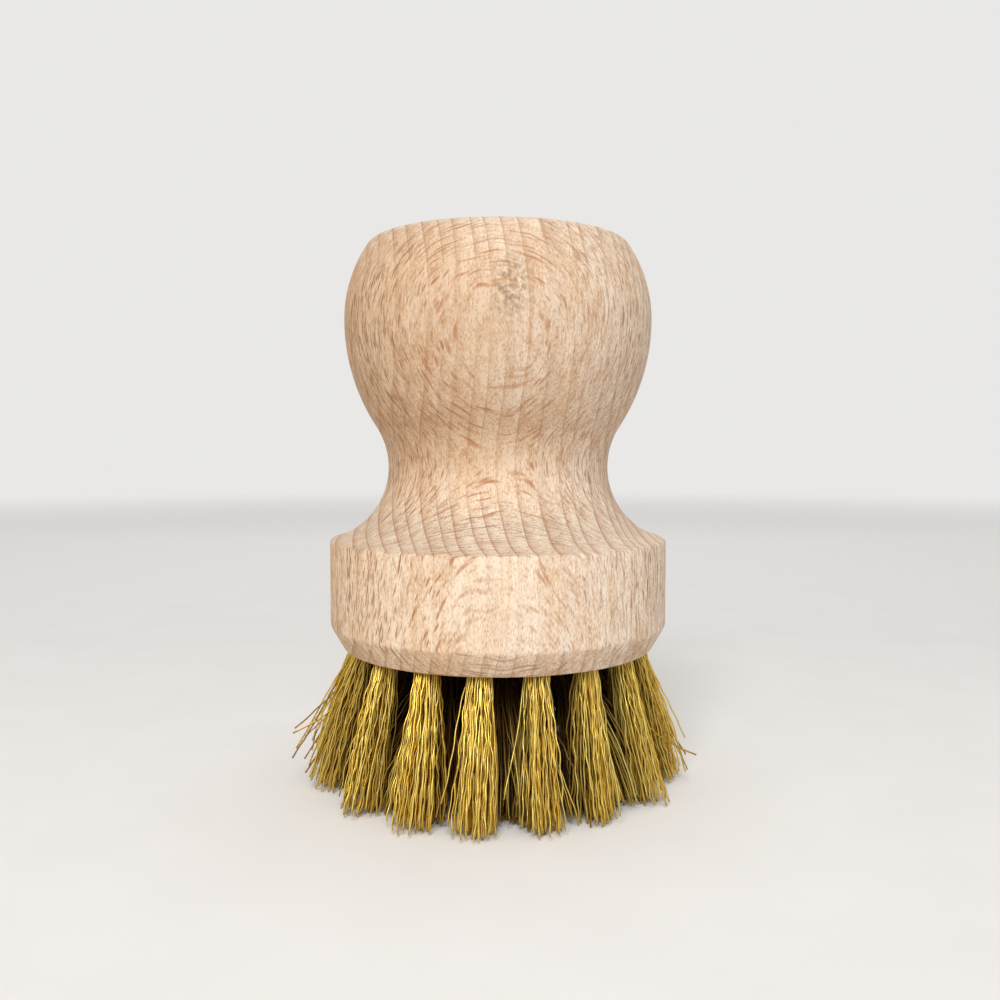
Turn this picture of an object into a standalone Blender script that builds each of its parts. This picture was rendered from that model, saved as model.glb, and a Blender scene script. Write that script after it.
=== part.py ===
"""Grill brush: a turned beech knob with tufts of brass wire, each held in its hole by a flat anchor.

Lengths are in metres and +Z is up. The brush stands on its bristle tips at Z = 0, its turning axis
is Z, and -Y is its front. Each tuft has a frame of its own: the origin is the centre of its hole's
mouth, +Z runs back up the hole, X runs along its anchor, and the wires run down -Z.
"""
import math
import random

import bmesh
import bpy
from mathutils import Matrix, Vector

# Gap that stands for a tight fit, between any two pieces
FIT_CLEARANCE = 0.0003

# Handle, turned from one piece. Its heights stack up from the flat underside to the flat crown.
BAND_DIAMETER = 0.0500
NECK_DIAMETER = 0.0327
KNOB_DIAMETER = 0.0453
CHAMFER_WIDTH = 0.0020
CHAMFER_HEIGHT = 0.0035
BAND_HEIGHT = 0.0126
COVE_HEIGHT = 0.01055
KNOB_RISE = 0.0213
CROWN_RISE = 0.0116
BAND_EDGE_RADIUS = 0.0005
KNOB_UPPER_RADIUS = 0.0192
SHOULDER_RADIUS = 0.0019

# Rings of tufts, from the outside in. The lean falls off towards the middle with the radius.
MOUTH_TO_CHAMFER = 0.00047
OUTER_LEAN = math.radians(14.5)
RING_NAMES = ("outer", "middle", "inner")
RING_RADIUS_SHARES = (1.0, 0.616, 0.232)
RING_TUFT_COUNTS = (17, 9, 3)
RING_FIRST_ANGLES = (math.radians(-6.5), math.radians(4.0), math.radians(40.0))
RING_STRAND_STEPS = (3, 2, 2)

# Wire bundle of one tuft. CRIMP_SHARE is of the gap that opens between neighbouring strands.
WIRE_LENGTH_OUT = 0.01925
BUNDLE_DIAMETER = 0.0037
TIP_GAP = 0.0017
ROOT_RECESS = 0.0005
CRIMP_SHARE = 0.28
TIP_TRIM_DEPTH = 0.0005
TIP_UNEVENNESS = 0.0011

# Drilled hole and the fold of the bundle at its bottom
HOLE_DEPTH = 0.0090
DRILL_POINT_ANGLE = math.radians(118.0)
FOLD_THICKNESS = 0.0012
FOLD_END_SHARE = 0.68

# Flat wire anchor, driven edge on, with its ends bitten into the wood beside the hole
ANCHOR_THICKNESS = 0.0004
ANCHOR_WIDTH = 0.0018
ANCHOR_BITE = 0.0005
ANCHOR_CORNER_CUT = 0.0004
ANCHOR_TURN = math.radians(45.0)

# How finely the round shapes are cut, and how far a cutter runs past what it cuts
TURNING_STEPS = 56
ARC_FLATNESS = 0.00006
MERGE_DISTANCE = 0.00002
BUNDLE_SIDES = 12
CUT_OVERRUN = 0.0010
SMOOTH_ANGLE = math.radians(35.0)

# Sizes that follow from the ones above
BAND_RADIUS = BAND_DIAMETER / 2
NECK_RADIUS = NECK_DIAMETER / 2
KNOB_RADIUS = KNOB_DIAMETER / 2
UNDERSIDE_RADIUS = BAND_RADIUS - CHAMFER_WIDTH
BAND_TOP_HEIGHT = CHAMFER_HEIGHT + BAND_HEIGHT
NECK_HEIGHT = BAND_TOP_HEIGHT + COVE_HEIGHT
KNOB_WIDEST_HEIGHT = NECK_HEIGHT + KNOB_RISE
HANDLE_HEIGHT = KNOB_WIDEST_HEIGHT + CROWN_RISE
BUNDLE_RADIUS = BUNDLE_DIAMETER / 2
HOLE_RADIUS = (BUNDLE_RADIUS + FIT_CLEARANCE) / math.cos(math.pi / BUNDLE_SIDES)
OUTER_RING_RADIUS = UNDERSIDE_RADIUS - MOUTH_TO_CHAMFER - HOLE_RADIUS
TIP_RING_RADIUS = OUTER_RING_RADIUS + WIRE_LENGTH_OUT * math.tan(OUTER_LEAN)
TIP_SPREAD_RADIUS = TIP_RING_RADIUS * math.sin(math.pi / RING_TUFT_COUNTS[0]) - TIP_GAP / 2
ANCHOR_LENGTH = 2 * (HOLE_RADIUS + ANCHOR_BITE)
FOLD_END_DEPTH = HOLE_DEPTH - FIT_CLEARANCE
WINDOW_BOTTOM_DEPTH = FOLD_END_DEPTH - FOLD_THICKNESS
WINDOW_HEIGHT = ANCHOR_WIDTH + 2 * FIT_CLEARANCE
WINDOW_WIDTH = ANCHOR_THICKNESS + 2 * FIT_CLEARANCE
ANCHOR_DEPTH = WINDOW_BOTTOM_DEPTH - WINDOW_HEIGHT / 2


def clear_scene():
    for item in list(bpy.data.objects):
        bpy.data.objects.remove(item, do_unlink=True)


def surface(name, colour, roughness, metallic):
    """Principled material. Colour is linear red, green and blue."""
    material = bpy.data.materials.new(name)
    material.use_nodes = True
    shader = material.node_tree.nodes["Principled BSDF"]
    shader.inputs["Base Color"].default_value = (*colour, 1.0)
    shader.inputs["Roughness"].default_value = roughness
    shader.inputs["Metallic"].default_value = metallic
    return material


def unfinished_beech():
    return surface("unfinished_beech", colour=(0.60, 0.42, 0.29), roughness=0.65, metallic=0.0)


def drawn_brass():
    return surface("drawn_brass", colour=(0.52, 0.36, 0.09), roughness=0.30, metallic=1.0)


def flat_steel():
    return surface("flat_steel", colour=(0.45, 0.46, 0.47), roughness=0.35, metallic=1.0)


def mesh_object(name, bm, material=None, matrix=None):
    """Turn a bmesh into an object with outward faces, at the place that matrix gives."""
    bmesh.ops.recalc_face_normals(bm, faces=bm.faces[:])
    mesh = bpy.data.meshes.new(name)
    bm.to_mesh(mesh)
    bm.free()
    if material:
        mesh.materials.append(material)
    return linked_object(name, mesh, matrix)


def linked_object(name, mesh, matrix=None):
    item = bpy.data.objects.new(name, mesh)
    bpy.context.scene.collection.objects.link(item)
    if matrix:
        item.matrix_world = matrix
    return item


def shade_round(item):
    item.data.shade_smooth()
    item.data.set_sharp_from_angle(angle=SMOOTH_ANGLE)


def arc(centre, radius, start, end):
    """Points (radius, height) of an arc, both ends included, true to ARC_FLATNESS."""
    widest_step = 2 * math.acos(1 - ARC_FLATNESS / radius)
    steps = math.ceil(abs(end - start) / widest_step)
    angles = [start + (end - start) * step / steps for step in range(steps + 1)]
    return [(centre[0] + radius * math.cos(a), centre[1] + radius * math.sin(a)) for a in angles]


def crown_points():
    """Flat crown, its rounded shoulder, and the knob's upper arc down to its widest point."""
    rise = CROWN_RISE - SHOULDER_RADIUS
    reach = math.sqrt((KNOB_UPPER_RADIUS - SHOULDER_RADIUS) ** 2 - rise ** 2)
    meeting = math.atan2(rise, reach)
    upper_centre = (KNOB_RADIUS - KNOB_UPPER_RADIUS, KNOB_WIDEST_HEIGHT)
    shoulder_centre = (upper_centre[0] + reach, upper_centre[1] + rise)
    shoulder = arc(shoulder_centre, SHOULDER_RADIUS, math.pi / 2, meeting)
    upper = arc(upper_centre, KNOB_UPPER_RADIUS, meeting, 0.0)
    return [(0.0, HANDLE_HEIGHT)] + shoulder + upper[1:]


def neck_points():
    """Knob's underside, and one cove that is upright at the neck and ends on the band's edge.

    Both arcs are upright at their outermost or innermost point and share a tangent where they meet.
    """
    flare = BAND_RADIUS - BAND_EDGE_RADIUS - NECK_RADIUS
    cove_radius = (flare ** 2 + COVE_HEIGHT ** 2) / (2 * flare)
    meeting = 2 * math.atan2(KNOB_RADIUS - NECK_RADIUS, KNOB_RISE)
    under_radius = KNOB_RISE / math.sin(meeting) - cove_radius
    under = arc((KNOB_RADIUS - under_radius, KNOB_WIDEST_HEIGHT), under_radius, 0.0, -meeting)
    foot = math.atan2(COVE_HEIGHT, cove_radius - flare)
    cove_centre = (NECK_RADIUS + cove_radius, NECK_HEIGHT)
    cove = arc(cove_centre, cove_radius, math.pi - meeting, math.pi + foot)
    return under[1:] + cove[1:]


def base_points():
    """Rounded edge, upright band, chamfer and flat underside."""
    edge_centre = (BAND_RADIUS - BAND_EDGE_RADIUS, BAND_TOP_HEIGHT - BAND_EDGE_RADIUS)
    edge = arc(edge_centre, BAND_EDGE_RADIUS, math.pi / 2, 0.0)
    return edge[1:] + [(BAND_RADIUS, CHAMFER_HEIGHT), (UNDERSIDE_RADIUS, 0.0), (0.0, 0.0)]


def make_handle(material, frames):
    """Turn the profile about Z, then drill the splayed holes and cut room for the anchors."""
    profile = crown_points() + neck_points() + base_points()
    bm = bmesh.new()
    corners = [bm.verts.new((x, 0.0, z)) for x, z in profile]
    rim = [bm.edges.new(pair) for pair in zip(corners, corners[1:])]
    bmesh.ops.spin(
        bm, geom=corners + rim, cent=(0, 0, 0), axis=(0, 0, 1), angle=math.tau,
        steps=TURNING_STEPS, use_merge=True,
    )
    bmesh.ops.remove_doubles(bm, verts=bm.verts[:], dist=MERGE_DISTANCE)
    handle = mesh_object("turned_handle", bm, material, Matrix.Translation((0, 0, WIRE_LENGTH_OUT)))
    shade_round(handle)
    cut_from(handle, "hole_drills", [drill(frame) for frame in frames])
    cut_from(handle, "anchor_slots", [slot(frame) for frame in frames])


def drill(frame):
    """Straight bore with the pointed bottom that a drill leaves."""
    bm = bmesh.new()
    mouth = bmesh.ops.create_circle(
        bm, cap_ends=True, segments=BUNDLE_SIDES, radius=HOLE_RADIUS,
        matrix=Matrix.Translation((0, 0, -CUT_OVERRUN)),
    )
    face = mouth["verts"][0].link_faces[0]
    bottom = extrude_faces(bm, [face], (0, 0, CUT_OVERRUN + HOLE_DEPTH))[0]
    tip = bmesh.ops.poke(bm, faces=[bottom])["verts"]
    point_height = HOLE_RADIUS / math.tan(DRILL_POINT_ANGLE / 2)
    bmesh.ops.translate(bm, verts=tip, vec=(0, 0, point_height))
    bm.transform(frame)
    return bm


def slot(frame):
    """Room in the wood for one anchor and its fit."""
    size = (
        ANCHOR_LENGTH + 2 * FIT_CLEARANCE,
        ANCHOR_THICKNESS + 2 * FIT_CLEARANCE,
        ANCHOR_WIDTH + 2 * FIT_CLEARANCE,
    )
    bm = bmesh.new()
    bmesh.ops.create_cube(bm, size=1.0)
    bmesh.ops.scale(bm, vec=size, verts=bm.verts[:])
    bmesh.ops.translate(bm, vec=(0, 0, ANCHOR_DEPTH), verts=bm.verts[:])
    bm.transform(frame)
    return bm


def extrude_faces(bm, faces, shift):
    """Extrude faces as one region, move the new ones by shift and return them."""
    made = bmesh.ops.extrude_face_region(bm, geom=faces)["geom"]
    bmesh.ops.delete(bm, geom=faces, context="FACES_ONLY")
    moved = [item for item in made if isinstance(item, bmesh.types.BMVert)]
    bmesh.ops.translate(bm, verts=moved, vec=shift)
    return [item for item in made if isinstance(item, bmesh.types.BMFace)]


def cut_from(item, name, shapes):
    """Subtract shapes from an object with one cutter, which stays in the file as a guide."""
    joined = bmesh.new()
    for shape in shapes:
        part = bpy.data.meshes.new(name)
        shape.to_mesh(part)
        shape.free()
        joined.from_mesh(part)
        bpy.data.meshes.remove(part)
    cutter = mesh_object(name, joined)
    cutter.hide_render = True
    cutter.display_type = "WIRE"
    cut = item.modifiers.new(name, "BOOLEAN")
    cut.operation = "DIFFERENCE"
    cut.solver = "EXACT"
    cut.object = cutter


def ring_frames(ring):
    """Frames of one ring's tufts. Angles count from the front, positive towards +X."""
    radius = OUTER_RING_RADIUS * RING_RADIUS_SHARES[ring]
    lean = OUTER_LEAN * RING_RADIUS_SHARES[ring]
    count = RING_TUFT_COUNTS[ring]
    frames = []
    for index in range(count):
        turn = RING_FIRST_ANGLES[ring] + math.tau * index / count - math.pi / 2
        frame = Matrix.Rotation(turn, 4, "Z")
        frame = frame @ Matrix.Translation((radius, 0, WIRE_LENGTH_OUT))
        frame = frame @ Matrix.Rotation(-lean, 4, "Y") @ Matrix.Rotation(ANCHOR_TURN, 4, "Z")
        frames.append(frame)
    return frames


def bundle_angles():
    """Angles of the bundle's corners. Two flats, at +X and -X, are as wide as the anchor's window."""
    half = math.asin(WINDOW_WIDTH / 2 / BUNDLE_RADIUS)
    corners_between = BUNDLE_SIDES // 2 - 1
    pitch = (math.pi - 2 * half) / corners_between
    side = [half + pitch * step for step in range(corners_between + 1)]
    return side + [angle + math.pi for angle in side]


def bundle_section(bm):
    """Round section of the packed bundle, as a fan of triangles with BUNDLE_SIDES corners."""
    turned = Matrix.Rotation(math.pi / BUNDLE_SIDES, 4, "Z")
    bmesh.ops.create_circle(
        bm, cap_ends=True, cap_tris=True, segments=BUNDLE_SIDES // 2, radius=BUNDLE_RADIUS,
        matrix=Matrix.Translation((0, 0, ROOT_RECESS)) @ turned,
    )
    bmesh.ops.subdivide_edges(bm, edges=bm.edges[:], cuts=1, use_grid_fill=True)
    rim = [vert for vert in bm.verts if vert.is_boundary]
    rim.sort(key=lambda vert: math.atan2(vert.co.y, vert.co.x) % math.tau)
    for vert, angle in zip(rim, bundle_angles()):
        vert.co.x = BUNDLE_RADIUS * math.cos(angle)
        vert.co.y = BUNDLE_RADIUS * math.sin(angle)
    return [edge for edge in bm.edges if edge.is_boundary]


def every_other_face(bm):
    """Half of the section's triangles, so chosen that no two of them share an edge."""
    bm.faces.ensure_lookup_table()
    chosen = {bm.faces[0]: True}
    waiting = [bm.faces[0]]
    while waiting:
        face = waiting.pop()
        for edge in face.edges:
            for other in edge.link_faces:
                if other not in chosen:
                    chosen[other] = not chosen[face]
                    waiting.append(other)
    return [face for face in bm.faces if chosen[face]]


def fold_bundle(bm, rim):
    """Run the packed bundle up its hole, past the anchor's window, to the rounded fold."""
    window_top = WINDOW_BOTTOM_DEPTH - WINDOW_HEIGHT
    for depth in (window_top, WINDOW_BOTTOM_DEPTH, FOLD_END_DEPTH):
        made = bmesh.ops.extrude_edge_only(bm, edges=rim)["geom"]
        rim = [item for item in made if isinstance(item, bmesh.types.BMEdge) and item.is_boundary]
        for vert in {vert for edge in rim for vert in edge.verts}:
            vert.co.z = depth
    ends = list({vert for edge in rim for vert in edge.verts})
    bmesh.ops.scale(bm, verts=ends, vec=(FOLD_END_SHARE, FOLD_END_SHARE, 1.0))
    bmesh.ops.edgeloop_fill(bm, edges=rim)


def open_window(bm):
    """Open the two flats beside the fold and join them, so that the anchor passes through."""
    flats = []
    for face in bm.faces:
        centre = centre_of(face)
        if abs(centre.z - ANCHOR_DEPTH) < WINDOW_HEIGHT / 4 and abs(centre.y) < WINDOW_WIDTH / 4:
            flats.append(face)
    edges = [edge for face in flats for edge in face.edges]
    bmesh.ops.delete(bm, geom=flats, context="FACES_ONLY")
    bmesh.ops.bridge_loops(bm, edges=edges)


def grow_strands(bm, roots, frame, steps, chance):
    """Extrude each root triangle into a slightly crimped strand, fanned out down to its tip."""
    corner_reach = max((vert.co - centre_of(face)).length for face in roots for vert in face.verts)
    centre_reach = max(centre_of(face).xy.length for face in roots)
    spread = (TIP_SPREAD_RADIUS - corner_reach) / centre_reach
    crimp = CRIMP_SHARE * (spread - 1) * BUNDLE_RADIUS / 2
    for face in roots:
        run = centre_of(face) * (spread - 1)
        run.z = -WIRE_LENGTH_OUT
        grow_strand(bm, face, run, crimp, frame, steps, chance)


def grow_strand(bm, face, run, crimp, frame, steps, chance):
    """One strand. Its tip is level, and is cut flat on the standing plane if it would pass it."""
    up = frame.to_3x3().inverted() @ Vector((0, 0, 1))
    tip_height = max(0.0, chance.uniform(0, TIP_UNEVENNESS) - TIP_TRIM_DEPTH)
    root = [vert.co.copy() for vert in face.verts]
    for step in range(1, steps + 1):
        share = step / steps
        heading = chance.uniform(0, math.tau)
        kink = Vector((math.cos(heading), math.sin(heading), 0)) * crimp
        face = bmesh.ops.extrude_discrete_faces(bm, faces=[face])["faces"][0]
        for vert, start in zip(face.verts, root):
            vert.co = start + (run + kink) * share
    for vert in face.verts:
        above = WIRE_LENGTH_OUT + vert.co.dot(up) - tip_height
        vert.co -= run * above / run.dot(up)


def centre_of(face):
    return face.calc_center_median()


def make_tuft(name, frame, steps, material, chance):
    """Bundle of wires: packed in its hole, folded round its anchor and fanned out below."""
    bm = bmesh.new()
    rim = bundle_section(bm)
    roots = every_other_face(bm)
    fold_bundle(bm, rim)
    open_window(bm)
    grow_strands(bm, roots, frame, steps, chance)
    return mesh_object(name, bm, material, frame)


def anchor_mesh(material):
    """Short length of flat wire, with the two corners that go in first cut off."""
    half_length = ANCHOR_LENGTH / 2
    half_width = ANCHOR_WIDTH / 2
    outline = (
        (-half_length, -half_width),
        (half_length, -half_width),
        (half_length, half_width - ANCHOR_CORNER_CUT),
        (half_length - ANCHOR_CORNER_CUT, half_width),
        (ANCHOR_CORNER_CUT - half_length, half_width),
        (-half_length, half_width - ANCHOR_CORNER_CUT),
    )
    bm = bmesh.new()
    face = bm.faces.new([bm.verts.new((x, -ANCHOR_THICKNESS / 2, z)) for x, z in outline])
    made = bmesh.ops.extrude_face_region(bm, geom=[face])["geom"]
    moved = [item for item in made if isinstance(item, bmesh.types.BMVert)]
    bmesh.ops.translate(bm, verts=moved, vec=(0, ANCHOR_THICKNESS, 0))
    bmesh.ops.recalc_face_normals(bm, faces=bm.faces[:])
    mesh = bpy.data.meshes.new("anchor")
    bm.to_mesh(mesh)
    bm.free()
    mesh.materials.append(material)
    return mesh


def main():
    clear_scene()
    chance = random.Random(17)
    brass = drawn_brass()
    anchor = anchor_mesh(flat_steel())
    seat = Matrix.Translation((0, 0, ANCHOR_DEPTH))
    all_frames = []
    for ring, ring_name in enumerate(RING_NAMES):
        frames = ring_frames(ring)
        all_frames += frames
        for number, frame in enumerate(frames, 1):
            label = f"{ring_name}_{number:02d}"
            make_tuft(f"tuft_{label}", frame, RING_STRAND_STEPS[ring], brass, chance)
            linked_object(f"anchor_{label}", anchor, frame @ seat)
    make_handle(unfinished_beech(), all_frames)


main()
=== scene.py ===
"""Grill brush: a turned beech knob with tufts of crimped brass wire, standing on its bristle tips.

Lengths are in metres and +Z is up. The turning axis is Z and -Y is the front. Each tuft has a frame of
its own: the origin is the centre of its hole's mouth, +Z runs back up the hole, X runs along the anchor
that holds it, and the wires run down -Z.
"""
import math
import random

import bmesh
import bpy
from mathutils import Matrix, Vector


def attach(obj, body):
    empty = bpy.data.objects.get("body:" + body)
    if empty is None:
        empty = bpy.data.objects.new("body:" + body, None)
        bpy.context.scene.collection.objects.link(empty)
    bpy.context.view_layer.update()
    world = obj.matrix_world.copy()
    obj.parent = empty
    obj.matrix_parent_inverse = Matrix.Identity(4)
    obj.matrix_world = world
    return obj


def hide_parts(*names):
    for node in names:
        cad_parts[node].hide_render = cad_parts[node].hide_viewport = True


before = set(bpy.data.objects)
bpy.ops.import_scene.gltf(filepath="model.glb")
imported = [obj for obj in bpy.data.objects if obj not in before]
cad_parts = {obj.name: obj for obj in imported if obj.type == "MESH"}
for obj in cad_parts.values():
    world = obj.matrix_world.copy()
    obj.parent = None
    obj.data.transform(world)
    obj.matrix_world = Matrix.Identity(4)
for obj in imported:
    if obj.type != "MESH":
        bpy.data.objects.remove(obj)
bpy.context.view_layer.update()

# Handle, turned from one piece. Its heights stack up from the flat underside to the flat crown.
BAND_DIAMETER = 0.0500
NECK_DIAMETER = 0.0327
KNOB_DIAMETER = 0.0453
CHAMFER_WIDTH = 0.0020
CHAMFER_HEIGHT = 0.0035
BAND_HEIGHT = 0.0126
COVE_HEIGHT = 0.01055
KNOB_RISE = 0.0213
CROWN_RISE = 0.0116
BAND_EDGE_RADIUS = 0.0005
KNOB_UPPER_RADIUS = 0.0192
SHOULDER_RADIUS = 0.0019
EDGE_WEAR = 0.00035
TURNING_STEPS = 216
ARC_FLATNESS = 0.000004
EDGE_SEGMENTS = 3
SMOOTH_ANGLE = math.radians(35.0)
MERGE_DISTANCE = 0.000005

# Rings of tufts, from the outside in. The lean falls off towards the middle with the radius.
MOUTH_TO_CHAMFER = 0.00047
OUTER_LEAN = math.radians(14.5)
RING_NAMES = ("outer", "middle", "inner")
RING_RADIUS_SHARES = (1.0, 0.616, 0.232)
RING_TUFT_COUNTS = (17, 9, 3)
RING_FIRST_ANGLES = (math.radians(-6.5), math.radians(4.0), math.radians(40.0))
RING_WIRE_ENDS = (100, 190, 110)
RING_LEG_STEPS = (24, 14, 12)
ANCHOR_TURN = math.radians(45.0)

# Drilled holes. The CAD's hole has twelve flat sides, and the radius of its corners places the outer ring.
CAD_BUNDLE_RADIUS = 0.00185
CAD_CLEARANCE = 0.0003
CAD_HOLE_SIDES = 12
HOLE_RADIUS = 0.00205
HOLE_DEPTH = 0.0090
DRILL_POINT_ANGLE = math.radians(118.0)
HOLE_SIDES = 28
CUT_OVERRUN = 0.0010

# One wire and its way through the hole: up one leg, over the anchor's deep edge, down the other leg. The
# mean width of a three-sided wire is about 1.62 times the radius of the circle through its corners.
WIRE_DIAMETER = 0.00021
WIRE_SIDES = 3
WIDTH_PER_CORNER_RADIUS = 1.62
WIRE_LENGTH_OUT = 0.01925
BUNDLE_RADIUS = 0.00178
STRAIGHT_DEPTH = 0.0048
FOLD_DEPTH = 0.0074
FOLD_RISE_SHARE = 0.55
ANCHOR_HALF_ROOM = 0.00034
GOLDEN_ANGLE = math.pi * (3.0 - math.sqrt(5.0))
FIRST_ROOT_TURN = 0.3
# How far the bundle narrows at the three points of a fold, along the anchor and across it
FOLD_ALONG_SHARES = (0.95, 0.92, 0.90)
FOLD_ACROSS_SHARES = (1.0, 0.9, 0.35)

# Fan of the wires below the mouth, and how far each one strays from it. A range is a factor that differs
# from wire to wire.
WIRE_SEED = 29
TIP_SPREAD_RADII = (0.0031, 0.0048, 0.0042)
TIP_SIDE_SCATTERS = (0.0001, 0.0026, 0.0010)
TIP_SPREAD_RANGE = (0.85, 1.08)
TIPS_OUTWARD = (0.0010, 0.0057, 0.0012)
FAN_EASE = 1.35
FAN_EASE_RANGE = (0.8, 1.2)
TIP_SCATTER = 0.00055
TWIST = math.radians(16.0)
CRIMP_LENGTH = 0.0037
CRIMP_PACE_RANGE = (0.8, 1.25)
CRIMP_HEIGHT = 0.00011
CRIMP_HEIGHT_RANGE = (0.5, 1.6)
BOW_LENGTH = 0.0170
BOW_HEIGHT = 0.00022
CRIMP_START_SHARE = 0.12
TIP_LOWEST = 0.00010
TIP_UNEVENNESS = 0.0009
EDGE_WIRE_RISE = 0.0022
EDGE_RISE_POWER = 4
SIDE_RISE = 0.0028
SIDE_RISE_REACHES = (0.0262, 0.0288)
SHORT_WIRE_SHARE = 0.10
SHORT_WIRE_MOST = 0.0032

# Wires that were pushed out of their tuft in use: the tuft's number in the outer ring, the tip's place, how
# late the wire leaves its tuft, and its tone, from 0 for the most painted shade to 1 for pale
LOOSE_WIRES = (
    (14, (-0.0293, -0.0070, 0.0050), 0.9, 0.16),
    (14, (-0.0292, -0.0085, 0.0084), 2.2, 0.08),
    (14, (-0.0285, -0.0050, 0.0061), 2.4, 0.16),
    (14, (-0.0286, -0.0040, 0.0024), 1.1, 0.08),
    (13, (-0.0293, 0.0010, 0.0058), 1.2, 0.16),
    (15, (-0.0293, -0.0100, 0.0045), 0.8, 0.08),
    (15, (-0.0293, -0.0100, 0.0082), 2.6, 0.16),
    (15, (-0.0278, -0.0090, 0.0021), 2.0, 0.08),
    (1, (-0.0071, -0.0262, 0.0040), 0.9, 0.75),
    (1, (-0.0064, -0.0266, 0.0012), 1.2, 0.60),
    (2, (0.0008, -0.0262, 0.0045), 0.9, 0.75),
    (4, (0.0281, -0.0100, 0.0050), 2.4, 0.16),
    (5, (0.0276, -0.0075, 0.0020), 1.1, 0.16),
    (6, (0.0287, 0.0010, 0.0015), 1.1, 0.08),
)
LOOSE_CRIMP_SHARE = 0.5

# Painted shade on the brass: it darkens the wires from this depth inside the bristles, and comes in between
# these heights above their tips. Painted shade also darkens the wires in the middle of a tuft more than those
# at its rim.
BRISTLE_REACH = 0.0290
PAINTED_SHADE_DEPTHS = (0.0019, 0.0057)
DEEPEST_PAINTED_SHADE = 0.96
SHADE_FADE_HEIGHTS = (0.0002, 0.0011)
UNSHADED_ROOT_SHARE = 0.75
LOWEST_RIM_TONE = 0.3
INNER_SHADE_POWER = 1.5

# Lean of whole tufts, by the shift of their tips: how much it varies sideways, and the known ones as a shift
# away from the axis and one to the right as the tuft is seen from outside
TUFT_SWAY = 0.0003
TUFT_SHIFTS = {
    "wires_outer_01": (0.0004, 0.0005),
    "wires_outer_02": (-0.0004, -0.0008),
    "wires_outer_03": (-0.0012, -0.0016),
    "wires_outer_04": (-0.0015, -0.0010),
    "wires_outer_05": (-0.0013, -0.0003),
    "wires_outer_06": (-0.0010, 0.0002),
    "wires_outer_13": (-0.0005, 0.0),
    "wires_outer_14": (-0.0006, 0.0),
    "wires_outer_15": (-0.0008, 0.0003),
    "wires_outer_16": (-0.0003, 0.0016),
    "wires_outer_17": (0.0001, 0.0015),
}

# Grain of the wood, in millimetres: lumps and cells along X, Y and Z, or ranges along one of them. The
# rings are round the pith, which lay to the right of the brush. Fibres and pores are about twice their
# real width, so that they still show.
MM_PER_M = 1000.0
PITH_DISTANCE = 70.0
RING_SPACING = 1.9
RING_WAVER = 2.4
RING_WAVER_LENGTHS = (22.0, 22.0, 55.0)
GOOD_YEARS_LOST = 2.4
GOOD_YEARS_ACROSS = (-1.5, 11.5)
CLOUD_LENGTHS = (6.3, 6.3, 20.0)
FIBRE_LENGTHS = (0.8, 0.8, 5.0)
STREAK_LENGTHS = (1.9, 1.9, 9.0)
STROKE_LENGTHS = (1.1, 0.25, 2.7)
PORE_LENGTHS = (0.17, 0.17, 0.55)
RAY_BEND_LENGTHS = (6.3, 6.3, 10.0)
RAY_BEND = 1.3
RAY_START = (0.1, 31.0, 0.9)
RAY_LEAN = math.radians(7.4)
COARSE_RAY_SPACING = (11.0, 0.52, 3.6)
COARSE_RAY_REACH = (4.8, 0.10, 1.50)
FINE_RAY_SPACING = (6.5, 0.28, 1.9)
FINE_RAY_REACH = (2.7, 0.075, 0.8)
FINE_RAY_SHARE = 0.9
RAYS_FADE_ACROSS = (0.0, 15.0)
GROUND_ACROSS = (-22.0, 14.0)
# Painted shade on the knob: the heights over which it comes in, and the range across over which it grows
# towards the left
KNOB_SHADE_HEIGHTS = (41.5, 47.5)
KNOB_SHADE_ACROSS = (18.0, -12.0)

# How much browner each cause makes the wood, and the wood's relief in metres
FIBRE_SHADE = 0.50
STREAK_SHADE = 0.30
PORE_SHADE = -0.60
YEAR_SHADE = 0.08
END_SHADE = 0.055
SHADE_RANGE = (0.048, 0.318)
MOST_SHADE = 0.81
WOOD_RELIEF = 0.00008

# Colours of the wood's ground, of the grain's shade, and of the painted shade on the knob
GROUND_LEFT_COLOUR = "#f9dbb7"
GROUND_RIGHT_COLOUR = "#ffeedb"
KNOB_SHADE_COLOUR = "#e9e0d6"
WOOD_SHADE_COLOUR = "#d9bd9b"

# Colours drawn over the wood, and how strong each is on upright sides and on end grain
# Painted sheen of light from above, on faces that look up
PAINTED_SHEEN_COLOUR = "#cfc9ba"
PAINTED_SHEEN_STRENGTHS = (0.0, 0.55)
RING_COLOUR = "#a37350"
RING_STRENGTHS = (0.16, 0.82)
PORE_COLOUR = "#bb8352"
PORE_STRENGTHS = (0.42, 0.62)
STROKE_COLOUR = "#93623a"
STROKE_STRENGTHS = (0.85, 0.45)
RAY_SIDE_COLOUR = "#905a30"
RAY_FRONT_COLOUR = "#b3713c"
RAY_STRENGTHS = (1.0, 0.75)

# Grey-brown fleck of a bud: place and reach in metres, and specks to a metre, each about 0.7 mm wide
BUD_PLACE = (0.0017, -0.0218, 0.0692)
BUD_REACH = (0.0034, 0.0060, 0.0062)
BUD_COLOUR = "#7d5f42"
BUD_SPECKS = 1500.0

# Metals and cloth: colours, and how many patches lie along a metre. A patch of dull skin on the brass is
# about 1.4 mm long, a grain of zinc 0.6 mm wide and a slub of the cloth 17 mm long.
BRASS_DEEP_COLOUR = "#dea922"
BRASS_PALE_COLOUR = "#f4df80"
# Colour of the painted shade that darkens the brass deep in the bristles and in the middle of the tufts
BRASS_SHADE_COLOUR = "#4a2f19"
BRASS_PATCHES = 700.0
ZINC_DARK_COLOUR = "#a3a6a8"
ZINC_PALE_COLOUR = "#c9cbcc"
ZINC_GRAINS = 1600.0
CLOTH_DARK_COLOUR = "#dddbd8"
CLOTH_PALE_COLOUR = "#e4e2df"
CLOTH_FAR_COLOUR = "#f7f6f4"
CLOTH_SLUBS = 60.0

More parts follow.
